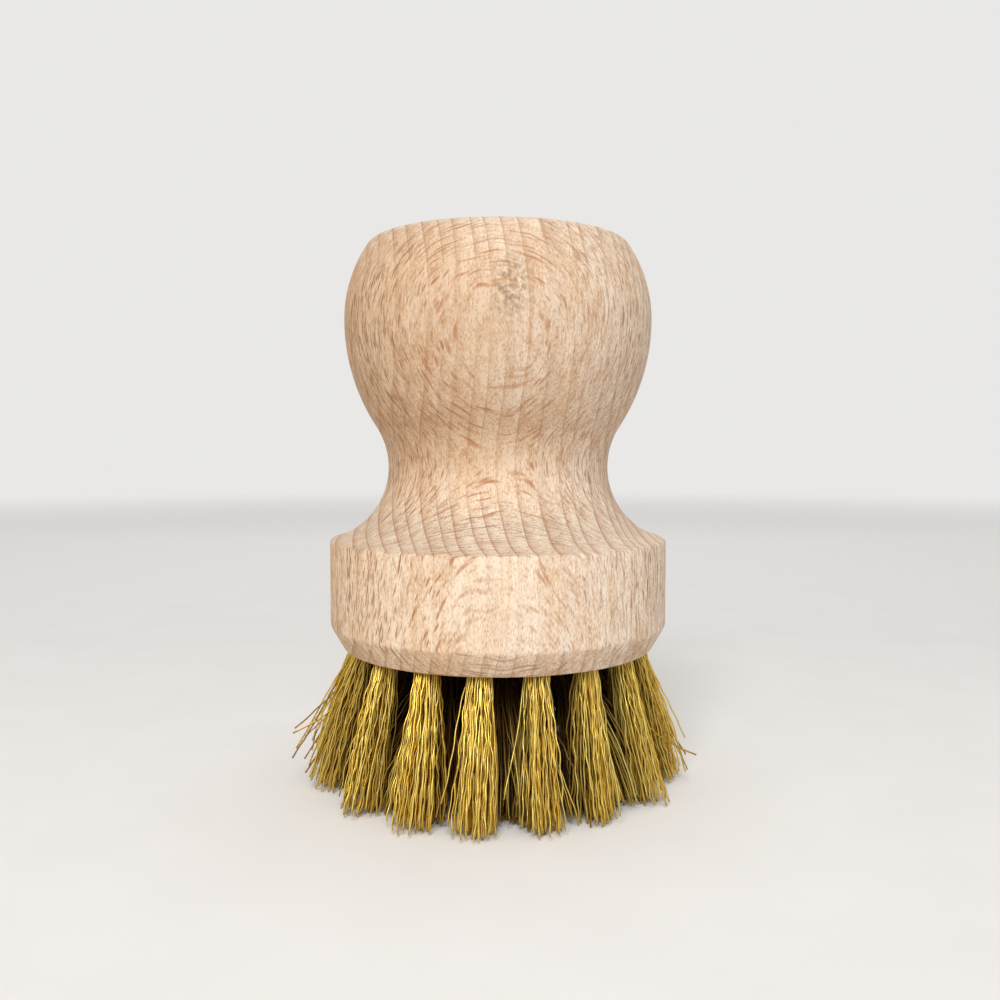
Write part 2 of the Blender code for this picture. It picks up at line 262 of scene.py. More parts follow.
# Camera and room. Lens and sensor are in millimetres. The sky's light is linear, and what the camera sees
# of the sky is a colour like the others.
CAMERA_PLACE = (0.0003, -0.1460, 0.0493)
CAMERA_TILT = math.radians(86.68)
CAMERA_LENS = 34.92
CAMERA_SENSOR_WIDTH = 36.0
CAMERA_NEAREST = 0.005
FLOOR_RADIUS = 0.90
FLOOR_SIDES = 128
FLOOR_PALER_FROM = 0.10
FLOOR_FADE_RADIUS = 0.35
SKY_LIGHT = (0.306, 0.30, 0.29, 1.0)
SKY_COLOUR_SEEN = "#e9e8e6"

# Lamps: name, place, size, power in watts and colour
LAMPS = (
    ("front_lamp", (-0.07, -0.55, 0.66), 0.40, 5.6, "#ffffff"),
    ("top_lamp", (0.05, 0.12, 0.95), 0.60, 2.6, "#fbfcff"),
)
LAMP_AIM = (0.0, 0.0, 0.04)

# Sizes that follow from the ones above
BAND_RADIUS = BAND_DIAMETER / 2
NECK_RADIUS = NECK_DIAMETER / 2
KNOB_RADIUS = KNOB_DIAMETER / 2
UNDERSIDE_RADIUS = BAND_RADIUS - CHAMFER_WIDTH
BAND_TOP_HEIGHT = CHAMFER_HEIGHT + BAND_HEIGHT
NECK_HEIGHT = BAND_TOP_HEIGHT + COVE_HEIGHT
KNOB_WIDEST_HEIGHT = NECK_HEIGHT + KNOB_RISE
HANDLE_HEIGHT = KNOB_WIDEST_HEIGHT + CROWN_RISE
CAD_HOLE_RADIUS = (CAD_BUNDLE_RADIUS + CAD_CLEARANCE) / math.cos(math.pi / CAD_HOLE_SIDES)
OUTER_RING_RADIUS = UNDERSIDE_RADIUS - MOUTH_TO_CHAMFER - CAD_HOLE_RADIUS
ROOT_REACH = BUNDLE_RADIUS - WIRE_DIAMETER / 2


def linear(colour):
    """sRGB hex colour as linear red, green, blue and alpha."""
    shares = [int(colour[i:i + 2], 16) / 255 for i in (1, 3, 5)]
    return (*[s / 12.92 if s <= 0.04045 else ((s + 0.055) / 1.055) ** 2.4 for s in shares], 1.0)


def add_node(tree, kind, settings=None, links=None):
    """Add a node, set its own properties or its inputs' values, and feed inputs from other outputs."""
    node = tree.nodes.new(kind)
    for name, value in (settings or {}).items():
        if isinstance(name, str) and hasattr(node, name):
            setattr(node, name, value)
        else:
            node.inputs[name].default_value = value
    for name, source in (links or {}).items():
        tree.links.new(source, node.inputs[name])
    return node


def new_material(name):
    """A node material, its tree, and the one shader in it."""
    material = bpy.data.materials.new(name)
    material.use_nodes = True
    return material, material.node_tree, material.node_tree.nodes["Principled BSDF"]


def turned_beech():
    """Beech, turned across a straight grain and sanded, left bare.

    The growth rings are upright sheets, seen as thin lines on the crown, cove and chamfer. The rays are
    thin upright ribbons that run across the rings: short brown spindles on the sides and broad orange
    flakes at the front, where the surface runs along them.
    """
    material, tree, shader = new_material("turned_beech")
    place = add_node(tree, "ShaderNodeTexCoord")
    grain = add_node(
        tree, "ShaderNodeVectorMath", {"operation": "SCALE", "Scale": MM_PER_M}, {0: place.outputs["Object"]},
    ).outputs[0]
    facing = add_node(tree, "ShaderNodeSeparateXYZ", links={0: place.outputs["Normal"]})
    fibre = stretched_noise(tree, grain, FIBRE_LENGTHS, 4.0)
    pore = stretched_noise(tree, grain, PORE_LENGTHS, 2.0)
    end_grain = cut_across(tree, facing)
    front = square_to_rays(tree, place.outputs["Normal"])
    rays = ray_flakes(tree, grain, front)
    rings, ring_tone = growth_rings(tree, grain)

    causes = (
        (fibre, FIBRE_SHADE),
        (stretched_noise(tree, grain, STREAK_LENGTHS, 1.0), STREAK_SHADE),
        (pore, PORE_SHADE),
        (ring_tone, YEAR_SHADE),
        (end_grain, END_SHADE),
    )
    colour = shaded_wood(tree, wood_ground(tree, grain), causes)
    # Painted sheen of light from above: faces that look up are greyed a little
    painted_sheen = add_node(
        tree, "ShaderNodeMapRange", {"From Min": 0.12, "From Max": 0.75}, {"Value": facing.outputs["Z"]},
    )
    # Pores are where their noise is lowest
    pores = add_node(tree, "ShaderNodeMapRange", {"From Min": 0.48, "From Max": 0.30}, {"Value": pore})
    layers = (
        (PAINTED_SHEEN_COLOUR, painted_sheen.outputs[0], PAINTED_SHEEN_STRENGTHS),
        (RING_COLOUR, rings, RING_STRENGTHS),
        (PORE_COLOUR, pores.outputs[0], PORE_STRENGTHS),
        (STROKE_COLOUR, side_strokes(tree, grain, front), STROKE_STRENGTHS),
        (ray_colour(tree, front), rays, RAY_STRENGTHS),
    )
    for layer_colour, share, strengths in layers:
        colour = drawn_over(tree, colour, layer_colour, share, end_grain, strengths)
    colour = bud_fleck(tree, colour, place.outputs["Object"])
    tree.links.new(colour, shader.inputs["Base Color"])

    rough = add_node(tree, "ShaderNodeMapRange", {"To Min": 0.58, "To Max": 0.78}, {"Value": fibre})
    tree.links.new(rough.outputs[0], shader.inputs["Roughness"])
    tree.links.new(wood_bump(tree, fibre, pore, rays), shader.inputs["Normal"])
    return material


def wood_bump(tree, fibre, pore, rays):
    """Fine relief: sanded fibres stand up a little, and the rays and pores lie lower."""
    grooves = add_node(
        tree, "ShaderNodeMath", {"operation": "MULTIPLY_ADD", 1: -0.6}, {0: rays, 2: fibre},
    )
    relief = add_node(
        tree, "ShaderNodeMath", {"operation": "MULTIPLY_ADD", 1: 0.8}, {0: pore, 2: grooves.outputs[0]},
    )
    bump = add_node(
        tree, "ShaderNodeBump", {"Strength": 0.5, "Distance": WOOD_RELIEF}, {"Height": relief.outputs[0]},
    )
    return bump.outputs[0]


def stretched_noise(tree, place, lengths, detail):
    """Noise whose lumps have the given lengths along X, Y and Z."""
    cells = add_node(tree, "ShaderNodeVectorMath", {"operation": "DIVIDE", 1: lengths}, {0: place})
    noise = add_node(
        tree, "ShaderNodeTexNoise", {"Scale": 1.0, "Detail": detail, "Roughness": 0.62},
        {"Vector": cells.outputs[0]},
    )
    return noise.outputs["Fac"]


def square_to_rays(tree, normal):
    """How squarely the surface faces the flat side of the rays: 1 at the front and back, 0 at the sides."""
    faced = add_node(
        tree, "ShaderNodeVectorMath",
        {"operation": "DOT_PRODUCT", 1: (0.0, math.cos(RAY_LEAN), math.sin(RAY_LEAN))}, {0: normal},
    )
    front = add_node(
        tree, "ShaderNodeMath", {"operation": "ABSOLUTE"}, {0: faced.outputs["Value"]},
    )
    return front.outputs[0]


def side_strokes(tree, grain, front):
    """Short dark strokes along the grain, where their noise is lowest, and on the sides only."""
    stroke = stretched_noise(tree, grain, STROKE_LENGTHS, 1.0)
    dark = add_node(
        tree, "ShaderNodeMapRange", {"From Min": 0.45, "From Max": 0.34}, {"Value": stroke},
    )
    sides = add_node(
        tree, "ShaderNodeMapRange", {"From Min": 0.95, "From Max": 0.60}, {"Value": front},
    )
    strokes = add_node(
        tree, "ShaderNodeMath", {"operation": "MULTIPLY"}, {0: dark.outputs[0], 1: sides.outputs[0]},
    )
    return strokes.outputs[0]


def cut_across(tree, facing):
    """How far the surface cuts across the grain: 0 on upright sides, 1 on top, less on the underside."""
    down = add_node(tree, "ShaderNodeMath", {"operation": "MULTIPLY", 1: -0.75}, {0: facing.outputs["Z"]})
    tilt = add_node(
        tree, "ShaderNodeMath", {"operation": "MAXIMUM"}, {0: facing.outputs["Z"], 1: down.outputs[0]},
    )
    share = add_node(
        tree, "ShaderNodeMapRange", {"From Min": 0.06, "From Max": 0.66}, {"Value": tilt.outputs[0]},
    )
    return share.outputs[0]


def growth_rings(tree, grain):
    """Dark late wood of each ring, and a tone that differs from ring to ring."""
    across = add_node(
        tree, "ShaderNodeMapping", {"Location": (-PITH_DISTANCE, 0, 0), "Scale": (1, 1, 0)},
        {"Vector": grain},
    )
    from_pith = add_node(tree, "ShaderNodeVectorMath", {"operation": "LENGTH"}, {0: across.outputs[0]})
    waver = stretched_noise(tree, grain, RING_WAVER_LENGTHS, 2.0)
    wavered = add_node(
        tree, "ShaderNodeMath", {"operation": "MULTIPLY_ADD", 1: RING_WAVER},
        {0: waver, 2: from_pith.outputs["Value"]},
    )
    years = add_node(
        tree, "ShaderNodeMath", {"operation": "DIVIDE", 1: RING_SPACING}, {0: wavered.outputs[0]},
    )
    # A few good years, right of the middle, when the rings grew wider
    outermost, innermost = (PITH_DISTANCE - place for place in GOOD_YEARS_ACROSS)
    good_years = add_node(
        tree, "ShaderNodeMapRange", {"From Min": outermost, "From Max": innermost, "To Max": GOOD_YEARS_LOST},
        {"Value": from_pith.outputs["Value"]},
    )
    weather = add_node(
        tree, "ShaderNodeTexNoise", {"noise_dimensions": "1D", "Scale": 0.45, "Detail": 0.0},
        {"W": years.outputs[0]},
    )
    even = add_node(
        tree, "ShaderNodeMath", {"operation": "ADD"}, {0: years.outputs[0], 1: good_years.outputs[0]},
    )
    count = add_node(
        tree, "ShaderNodeMath", {"operation": "MULTIPLY_ADD", 1: 0.8},
        {0: weather.outputs["Fac"], 2: even.outputs[0]},
    )
    within = add_node(tree, "ShaderNodeMath", {"operation": "FRACT"}, {0: count.outputs[0]})
    late_wood = add_node(tree, "ShaderNodeValToRGB", links={"Fac": within.outputs[0]})
    set_ramp(late_wood, ((0.0, 0.0), (0.35, 0.04), (0.70, 0.26), (0.87, 0.48), (0.94, 1.0), (1.0, 0.4)))
    year = add_node(tree, "ShaderNodeMath", {"operation": "FLOOR"}, {0: count.outputs[0]})
    tone = add_node(
        tree, "ShaderNodeTexWhiteNoise", {"noise_dimensions": "1D"}, {"W": year.outputs[0]},
    )
    return late_wood.outputs["Color"], tone.outputs["Value"]


def ray_flakes(tree, grain, front):
    """Coarse and fine rays together. They are bent a little, and lie square to Y but for a small lean.

    Where the surface lies almost flat along a ray, turning and sanding have left only a trace of it.
    """
    bend = stretched_noise(tree, grain, RAY_BEND_LENGTHS, 1.0)
    shift = add_node(tree, "ShaderNodeCombineXYZ", links={"Y": bend})
    bent = add_node(
        tree, "ShaderNodeVectorMath", {"operation": "MULTIPLY_ADD", 1: (0.0, RAY_BEND, 0.0)},
        {0: shift.outputs[0], 2: grain},
    )
    leaning = add_node(
        tree, "ShaderNodeMapping", {"Rotation": (-RAY_LEAN, 0.0, 0.0)}, {"Vector": bent.outputs[0]},
    )
    coarse = ray_layer(tree, leaning.outputs[0], COARSE_RAY_SPACING, COARSE_RAY_REACH)
    fine = ray_layer(tree, leaning.outputs[0], FINE_RAY_SPACING, FINE_RAY_REACH)
    finer = add_node(tree, "ShaderNodeMath", {"operation": "MULTIPLY", 1: FINE_RAY_SHARE}, {0: fine})
    both = add_node(tree, "ShaderNodeMath", {"operation": "MAXIMUM"}, {0: coarse, 1: finer.outputs[0]})
    cut = add_node(
        tree, "ShaderNodeMapRange", {"From Min": 0.997, "From Max": 0.960, "To Min": 0.12}, {"Value": front},
    )
    # The rays are fainter towards the right
    axes = add_node(tree, "ShaderNodeSeparateXYZ", links={0: grain})
    low, high = RAYS_FADE_ACROSS
    rightwards = add_node(
        tree, "ShaderNodeMapRange", {"From Min": low, "From Max": high, "To Min": 1.0, "To Max": 0.5},
        {"Value": axes.outputs["X"]},
    )
    distinct = add_node(
        tree, "ShaderNodeMath", {"operation": "MULTIPLY"}, {0: both.outputs[0], 1: rightwards.outputs[0]},
    )
    shown = add_node(
        tree, "ShaderNodeMath", {"operation": "MULTIPLY"}, {0: distinct.outputs[0], 1: cut.outputs[0]},
    )
    return shown.outputs[0]


def ray_layer(tree, place, spacing, reach):
    """Rays of one size: a lens in each cell, of its own strength, that reaches so far from its middle."""
    cells = add_node(
        tree, "ShaderNodeVectorMath",
        {"operation": "MULTIPLY_ADD", 1: tuple(1 / x for x in spacing), 2: RAY_START}, {0: place},
    )
    nearest = add_node(tree, "ShaderNodeTexVoronoi", {"Scale": 1.0}, {"Vector": cells.outputs[0]})
    offset = add_node(
        tree, "ShaderNodeVectorMath", {"operation": "SUBTRACT"},
        {0: cells.outputs[0], 1: nearest.outputs["Position"]},
    )
    lens = add_node(
        tree, "ShaderNodeVectorMath",
        {"operation": "MULTIPLY", 1: tuple(cell / half for cell, half in zip(spacing, reach))},
        {0: offset.outputs[0]},
    )
    away = add_node(tree, "ShaderNodeVectorMath", {"operation": "LENGTH"}, {0: lens.outputs[0]})
    inside = add_node(
        tree, "ShaderNodeMapRange", {"From Min": 1.0, "From Max": 0.5}, {"Value": away.outputs["Value"]},
    )
    chance = add_node(tree, "ShaderNodeSeparateColor", links={0: nearest.outputs["Color"]})
    strength = add_node(
        tree, "ShaderNodeMapRange", {"To Min": 0.45, "To Max": 1.0}, {"Value": chance.outputs[0]},
    )
    share = add_node(
        tree, "ShaderNodeMath", {"operation": "MULTIPLY"}, {0: inside.outputs[0], 1: strength.outputs[0]},
    )
    return share.outputs[0]


def ray_colour(tree, front):
    """Dark where the surface cuts through the rays, orange where it runs along them."""
    along = add_node(
        tree, "ShaderNodeMapRange", {"From Min": 0.70, "From Max": 0.96}, {"Value": front},
    )
    colour = add_node(
        tree, "ShaderNodeMix",
        {"data_type": "RGBA", 6: linear(RAY_SIDE_COLOUR), 7: linear(RAY_FRONT_COLOUR)}, {0: along.outputs[0]},
    )
    return colour.outputs[2]


def wood_ground(tree, grain):
    """Ground colour: yellower towards the left, with painted shade that darkens the knob more than the band,
    and more towards its left.
    """
    cloud = stretched_noise(tree, grain, CLOUD_LENGTHS, 2.0)
    axes = add_node(tree, "ShaderNodeSeparateXYZ", links={0: grain})
    low, high = GROUND_ACROSS
    drift = add_node(
        tree, "ShaderNodeMapRange", {"From Min": low, "From Max": high}, {"Value": axes.outputs["X"]},
    )
    tint = add_node(
        tree, "ShaderNodeMath", {"operation": "MULTIPLY_ADD", 1: 0.6}, {0: drift.outputs[0], 2: cloud},
    )
    lean = add_node(
        tree, "ShaderNodeMapRange", {"From Min": 0.35, "From Max": 1.15}, {"Value": tint.outputs[0]},
    )
    base = add_node(
        tree, "ShaderNodeMix",
        {"data_type": "RGBA", 6: linear(GROUND_LEFT_COLOUR), 7: linear(GROUND_RIGHT_COLOUR)},
        {0: lean.outputs[0]},
    )
    # Painted shade on the knob, darker than the band and more so towards its left
    low, high = KNOB_SHADE_HEIGHTS
    height = add_node(
        tree, "ShaderNodeMapRange", {"From Min": low, "From Max": high}, {"Value": axes.outputs["Z"]},
    )
    low, high = KNOB_SHADE_ACROSS
    leftwards = add_node(
        tree, "ShaderNodeMapRange", {"From Min": low, "From Max": high, "To Min": 0.35, "To Max": 1.15},
        {"Value": axes.outputs["X"]},
    )
    knob = add_node(
        tree, "ShaderNodeMath", {"operation": "MULTIPLY"}, {0: height.outputs[0], 1: leftwards.outputs[0]},
    )
    browner = add_node(
        tree, "ShaderNodeMix", {"data_type": "RGBA", "blend_type": "MULTIPLY", 7: linear(KNOB_SHADE_COLOUR)},
        {0: knob.outputs[0], 6: base.outputs[2]},
    )
    return browner.outputs[2]


def drawn_over(tree, under, colour, share, end_grain, strengths):
    """Lay a colour over another by a share, at one strength on upright sides and one on end grain."""
    strength = add_node(
        tree, "ShaderNodeMapRange", {"To Min": strengths[0], "To Max": strengths[1]}, {"Value": end_grain},
    )
    amount = add_node(tree, "ShaderNodeMath", {"operation": "MULTIPLY"}, {0: share, 1: strength.outputs[0]})
    mixed = add_node(tree, "ShaderNodeMix", {"data_type": "RGBA"}, {0: amount.outputs[0], 6: under})
    if isinstance(colour, str):
        mixed.inputs[7].default_value = linear(colour)
    else:
        tree.links.new(colour, mixed.inputs[7])
    return mixed.outputs[2]


def shaded_wood(tree, colour, causes):
    """Make the wood browner by all the causes, each of which has a share of its own."""
    darkness = None
    for cause, share in causes:
        part = add_node(tree, "ShaderNodeMath", {"operation": "MULTIPLY_ADD", 1: share, 2: 0.0}, {0: cause})
        if darkness:
            tree.links.new(darkness, part.inputs[2])
        darkness = part.outputs[0]
    low, high = SHADE_RANGE
    spread = add_node(
        tree, "ShaderNodeMapRange", {"From Min": low, "From Max": high, "To Max": MOST_SHADE},
        {"Value": darkness},
    )
    shaded = add_node(
        tree, "ShaderNodeMix", {"data_type": "RGBA", "blend_type": "MULTIPLY", 7: linear(WOOD_SHADE_COLOUR)},
        {0: spread.outputs[0], 6: colour},
    )
    return shaded.outputs[2]


def bud_fleck(tree, colour, place):
    """Small soft grey-brown fleck that a dead bud has left at the front of the knob."""
    offset = add_node(tree, "ShaderNodeVectorMath", {"operation": "SUBTRACT", 1: BUD_PLACE}, {0: place})
    lens = add_node(
        tree, "ShaderNodeVectorMath", {"operation": "DIVIDE", 1: BUD_REACH}, {0: offset.outputs[0]},
    )
    away = add_node(tree, "ShaderNodeVectorMath", {"operation": "LENGTH"}, {0: lens.outputs[0]})
    near = add_node(
        tree, "ShaderNodeMapRange", {"From Min": 1.0, "From Max": 0.0}, {"Value": away.outputs["Value"]},
    )
    specks = add_node(tree, "ShaderNodeTexNoise", {"Scale": BUD_SPECKS, "Detail": 3.0}, {"Vector": place})
    patches = add_node(
        tree, "ShaderNodeMapRange", {"From Min": 0.34, "From Max": 0.76}, {"Value": specks.outputs["Fac"]},
    )
    both = add_node(
        tree, "ShaderNodeMath", {"operation": "MULTIPLY"}, {0: near.outputs[0], 1: patches.outputs[0]},
    )
    share = add_node(
        tree, "ShaderNodeMapRange", {"From Min": 0.04, "From Max": 0.50, "To Max": 0.70},
        {"Value": both.outputs[0]},
    )
    flecked = add_node(
        tree, "ShaderNodeMix", {"data_type": "RGBA", 7: linear(BUD_COLOUR)}, {0: share.outputs[0], 6: colour},
    )
    return flecked.outputs[2]


def set_ramp(node, stops):
    """Give a colour ramp grey stops, as (place, level) pairs from left to right."""
    ramp = node.color_ramp
    while len(ramp.elements) < len(stops):
        ramp.elements.new(0.5)
    for element, (place, level) in zip(ramp.elements, stops):
        element.position = place
        element.color = (level, level, level, 1.0)


def drawn_brass():
    """Brass wire, drawn bright and crimped. Each wire has a tone of its own, and painted shade darkens it
    deep inside the bristles and in the middle of each tuft.
    """
    material, tree, shader = new_material("drawn_brass_wire")
    tone = add_node(tree, "ShaderNodeAttribute", {"attribute_name": "wire_tone_and_shade"})
    place = add_node(tree, "ShaderNodeTexCoord")
    skin = add_node(
        tree, "ShaderNodeTexNoise", {"Scale": BRASS_PATCHES, "Detail": 2.0},
        {"Vector": place.outputs["Object"]},
    )
    mixed = add_node(
        tree, "ShaderNodeMath", {"operation": "MULTIPLY_ADD", 1: 0.5},
        {0: skin.outputs["Fac"], 2: tone.outputs["Fac"]},
    )
    share = add_node(
        tree, "ShaderNodeMapRange", {"From Min": 0.2, "From Max": 1.3}, {"Value": mixed.outputs[0]},
    )
    colour = add_node(
        tree, "ShaderNodeMix",
        {"data_type": "RGBA", 6: linear(BRASS_DEEP_COLOUR), 7: linear(BRASS_PALE_COLOUR)},
        {0: share.outputs[0]},
    )
    # Painted shade: wires inside a tuft, and most loose ones, have a low tone and take the shade colour from
    # end to end
    inner_wire_shade = add_node(
        tree, "ShaderNodeMapRange", {"From Min": 0.26, "From Max": 0.0, "To Max": 0.75},
        {"Value": tone.outputs["Fac"]},
    )
    painted_shade = add_node(
        tree, "ShaderNodeMath", {"operation": "MAXIMUM"},
        {0: deep_painted_shade(tree, place.outputs["Object"]), 1: inner_wire_shade.outputs[0]},
    )
    with_painted_shade = add_node(
        tree, "ShaderNodeMix", {"data_type": "RGBA", 7: linear(BRASS_SHADE_COLOUR)},
        {0: painted_shade.outputs[0], 6: colour.outputs[2]},
    )
    tree.links.new(with_painted_shade.outputs[2], shader.inputs["Base Color"])
    bright_rough = add_node(
        tree, "ShaderNodeMapRange", {"To Min": 0.30, "To Max": 0.50}, {"Value": skin.outputs["Fac"]},
    )
    rough = add_node(
        tree, "ShaderNodeMapRange", {"To Max": 0.68},
        {"Value": painted_shade.outputs[0], "To Min": bright_rough.outputs[0]},
    )
    tree.links.new(rough.outputs[0], shader.inputs["Roughness"])
    shader.inputs["Metallic"].default_value = 1.0
    return material


def deep_painted_shade(tree, place):
    """Share of painted shade on the wire: it grows deep between the tufts, and fades out just above the tips.
    """
    axes = add_node(tree, "ShaderNodeSeparateXYZ", links={0: place})
    across = add_node(
        tree, "ShaderNodeVectorMath", {"operation": "MULTIPLY", 1: (1.0, 1.0, 0.0)}, {0: place},
    )
    reach = add_node(tree, "ShaderNodeVectorMath", {"operation": "LENGTH"}, {0: across.outputs[0]})
    outside = add_node(
        tree, "ShaderNodeMapRange",
        {"From Max": WIRE_LENGTH_OUT, "To Min": BRISTLE_REACH, "To Max": UNDERSIDE_RADIUS},
        {"Value": axes.outputs["Z"]},
    )
    depth = add_node(
        tree, "ShaderNodeMath", {"operation": "SUBTRACT"}, {0: outside.outputs[0], 1: reach.outputs["Value"]},
    )
    low, high = PAINTED_SHADE_DEPTHS
    deep = add_node(
        tree, "ShaderNodeMapRange", {"From Min": low, "From Max": high, "To Max": DEEPEST_PAINTED_SHADE},
        {"Value": depth.outputs[0]},
    )
    low, high = SHADE_FADE_HEIGHTS
    above_tips = add_node(
        tree, "ShaderNodeMapRange", {"From Min": low, "From Max": high}, {"Value": axes.outputs["Z"]},
    )
    share = add_node(
        tree, "ShaderNodeMath", {"operation": "MULTIPLY"}, {0: deep.outputs[0], 1: above_tips.outputs[0]},
    )
    return share.outputs[0]


def galvanised_steel():
    """Flat steel wire with a thin zinc coat: mottled grey, half matt."""
    material, tree, shader = new_material("galvanised_flat_wire")
    place = add_node(tree, "ShaderNodeTexCoord")
    mottle = add_node(
        tree, "ShaderNodeTexVoronoi", {"Scale": ZINC_GRAINS}, {"Vector": place.outputs["Object"]},
    )
    grain = add_node(tree, "ShaderNodeSeparateColor", links={0: mottle.outputs["Color"]})
    colour = add_node(
        tree, "ShaderNodeMix",
        {"data_type": "RGBA", 6: linear(ZINC_DARK_COLOUR), 7: linear(ZINC_PALE_COLOUR)},
        {0: grain.outputs[0]},
    )
    tree.links.new(colour.outputs[2], shader.inputs["Base Color"])
    rough = add_node(
        tree, "ShaderNodeMapRange", {"To Min": 0.35, "To Max": 0.55}, {"Value": grain.outputs[1]},
    )
    tree.links.new(rough.outputs[0], shader.inputs["Roughness"])
    shader.inputs["Metallic"].default_value = 1.0
    return material


def pale_cloth():
    """Plain white cloth on the table, matt, with a faint slub. It fades into the wall far behind."""
    material, tree, shader = new_material("plain_white_cloth")
    place = add_node(tree, "ShaderNodeTexCoord")
    slub = add_node(
        tree, "ShaderNodeTexNoise", {"Scale": CLOTH_SLUBS, "Detail": 3.0},
        {"Vector": place.outputs["Object"]},
    )
    colour = add_node(
        tree, "ShaderNodeMix",
        {"data_type": "RGBA", 6: linear(CLOTH_DARK_COLOUR), 7: linear(CLOTH_PALE_COLOUR)},
        {0: slub.outputs["Fac"]},
    )
    # Further back, where the lamps reach it less, the cloth is paler
    axes = add_node(tree, "ShaderNodeSeparateXYZ", links={0: place.outputs["Object"]})
    behind = add_node(
        tree, "ShaderNodeMapRange", {"From Min": FLOOR_PALER_FROM, "From Max": FLOOR_FADE_RADIUS},
        {"Value": axes.outputs["Y"]},
    )
    paler = add_node(
        tree, "ShaderNodeMix", {"data_type": "RGBA", 7: linear(CLOTH_FAR_COLOUR)},
        {0: behind.outputs[0], 6: colour.outputs[2]},
    )
    tree.links.new(paler.outputs[2], shader.inputs["Base Color"])
    shader.inputs["Roughness"].default_value = 0.9
    shader.inputs["Specular IOR Level"].default_value = 0.2
    reach = add_node(
        tree, "ShaderNodeVectorMath", {"operation": "LENGTH"}, {0: place.outputs["Object"]},
    )
    fade = add_node(
        tree, "ShaderNodeMapRange",
        {"interpolation_type": "SMOOTHSTEP", "From Min": FLOOR_FADE_RADIUS, "From Max": FLOOR_RADIUS},
        {"Value": reach.outputs["Value"]},
    )
    # From below the cloth is clear, so that the bristles' tips can be looked at
    under = add_node(tree, "ShaderNodeNewGeometry")
    unseen = add_node(
        tree, "ShaderNodeMath", {"operation": "MAXIMUM"},
        {0: fade.outputs[0], 1: under.outputs["Backfacing"]},
    )
    clear = add_node(tree, "ShaderNodeBsdfTransparent")
    mixed = add_node(
        tree, "ShaderNodeMixShader", links={0: unseen.outputs[0], 1: shader.outputs[0], 2: clear.outputs[0]},
    )
    tree.links.new(mixed.outputs[0], tree.nodes["Material Output"].inputs["Surface"])
    return material


def mesh_object(name, bm, material=None):
    """Turn a bmesh into an object of the scene."""
    mesh = bpy.data.meshes.new(name)
    bm.to_mesh(mesh)
    bm.free()
    if material:
        mesh.materials.append(material)
    item = bpy.data.objects.new(name, mesh)
    bpy.context.scene.collection.objects.link(item)
    return item


def arc(centre, radius, start, end):
    """Points (radius, height) of an arc, both ends included, true to ARC_FLATNESS."""
    widest_step = 2 * math.acos(1 - ARC_FLATNESS / radius)
    steps = math.ceil(abs(end - start) / widest_step)
    angles = [start + (end - start) * step / steps for step in range(steps + 1)]
    return [(centre[0] + radius * math.cos(a), centre[1] + radius * math.sin(a)) for a in angles]


def crown_points():
    """Flat crown, its rounded shoulder, and the knob's upper arc down to its widest point."""
    rise = CROWN_RISE - SHOULDER_RADIUS
    reach = math.sqrt((KNOB_UPPER_RADIUS - SHOULDER_RADIUS) ** 2 - rise ** 2)
    meeting = math.atan2(rise, reach)
    upper_centre = (KNOB_RADIUS - KNOB_UPPER_RADIUS, KNOB_WIDEST_HEIGHT)
    shoulder_centre = (upper_centre[0] + reach, upper_centre[1] + rise)
    shoulder = arc(shoulder_centre, SHOULDER_RADIUS, math.pi / 2, meeting)
    upper = arc(upper_centre, KNOB_UPPER_RADIUS, meeting, 0.0)
    return [(0.0, HANDLE_HEIGHT)] + shoulder + upper[1:]


def neck_points():
    """Knob's underside, and one cove that is upright at the neck and ends on the band's edge."""
    flare = BAND_RADIUS - BAND_EDGE_RADIUS - NECK_RADIUS
    cove_radius = (flare ** 2 + COVE_HEIGHT ** 2) / (2 * flare)
    meeting = 2 * math.atan2(KNOB_RADIUS - NECK_RADIUS, KNOB_RISE)
    under_radius = KNOB_RISE / math.sin(meeting) - cove_radius
    under = arc((KNOB_RADIUS - under_radius, KNOB_WIDEST_HEIGHT), under_radius, 0.0, -meeting)
    foot = math.atan2(COVE_HEIGHT, cove_radius - flare)
    cove_centre = (NECK_RADIUS + cove_radius, NECK_HEIGHT)
    cove = arc(cove_centre, cove_radius, math.pi - meeting, math.pi + foot)
    return under[1:] + cove[1:]


def base_points():
    """Rounded edge, upright band, chamfer and flat underside."""
    edge_centre = (BAND_RADIUS - BAND_EDGE_RADIUS, BAND_TOP_HEIGHT - BAND_EDGE_RADIUS)
    edge = arc(edge_centre, BAND_EDGE_RADIUS, math.pi / 2, 0.0)
    return edge[1:] + [(BAND_RADIUS, CHAMFER_HEIGHT), (UNDERSIDE_RADIUS, 0.0), (0.0, 0.0)]


def make_handle(material, tuft_frames):
    """Turn the profile about Z, soften its two lower edges by hand sanding, and drill the holes."""
    bm = bmesh.new()
    profile = crown_points() + neck_points() + base_points()
    corners = [bm.verts.new((x, 0.0, z + WIRE_LENGTH_OUT)) for x, z in profile]
    for pair in zip(corners, corners[1:]):
        bm.edges.new(pair)
    bmesh.ops.bevel(
        bm, geom=[corners[-3], corners[-2]], offset=EDGE_WEAR, segments=EDGE_SEGMENTS, profile=0.5,
        affect="VERTICES", material=-1,
    )
    bmesh.ops.spin(
        bm, geom=bm.verts[:] + bm.edges[:], cent=(0, 0, 0), axis=(0, 0, 1), angle=math.tau,
        steps=TURNING_STEPS, use_merge=True,
    )
    bmesh.ops.remove_doubles(bm, verts=bm.verts[:], dist=MERGE_DISTANCE)
    bmesh.ops.recalc_face_normals(bm, faces=bm.faces[:])
    handle = mesh_object("turned_knob", bm, material)
    drills = bmesh.new()
    for tuft_frame in tuft_frames:
        drill(drills, tuft_frame)
    bmesh.ops.recalc_face_normals(drills, faces=drills.faces[:])
    cut_from(handle, mesh_object("hole_drills", drills))
    handle.data.shade_smooth()
    handle.data.set_sharp_from_angle(angle=SMOOTH_ANGLE)
    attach(handle, "root")
    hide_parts("turned_handle")


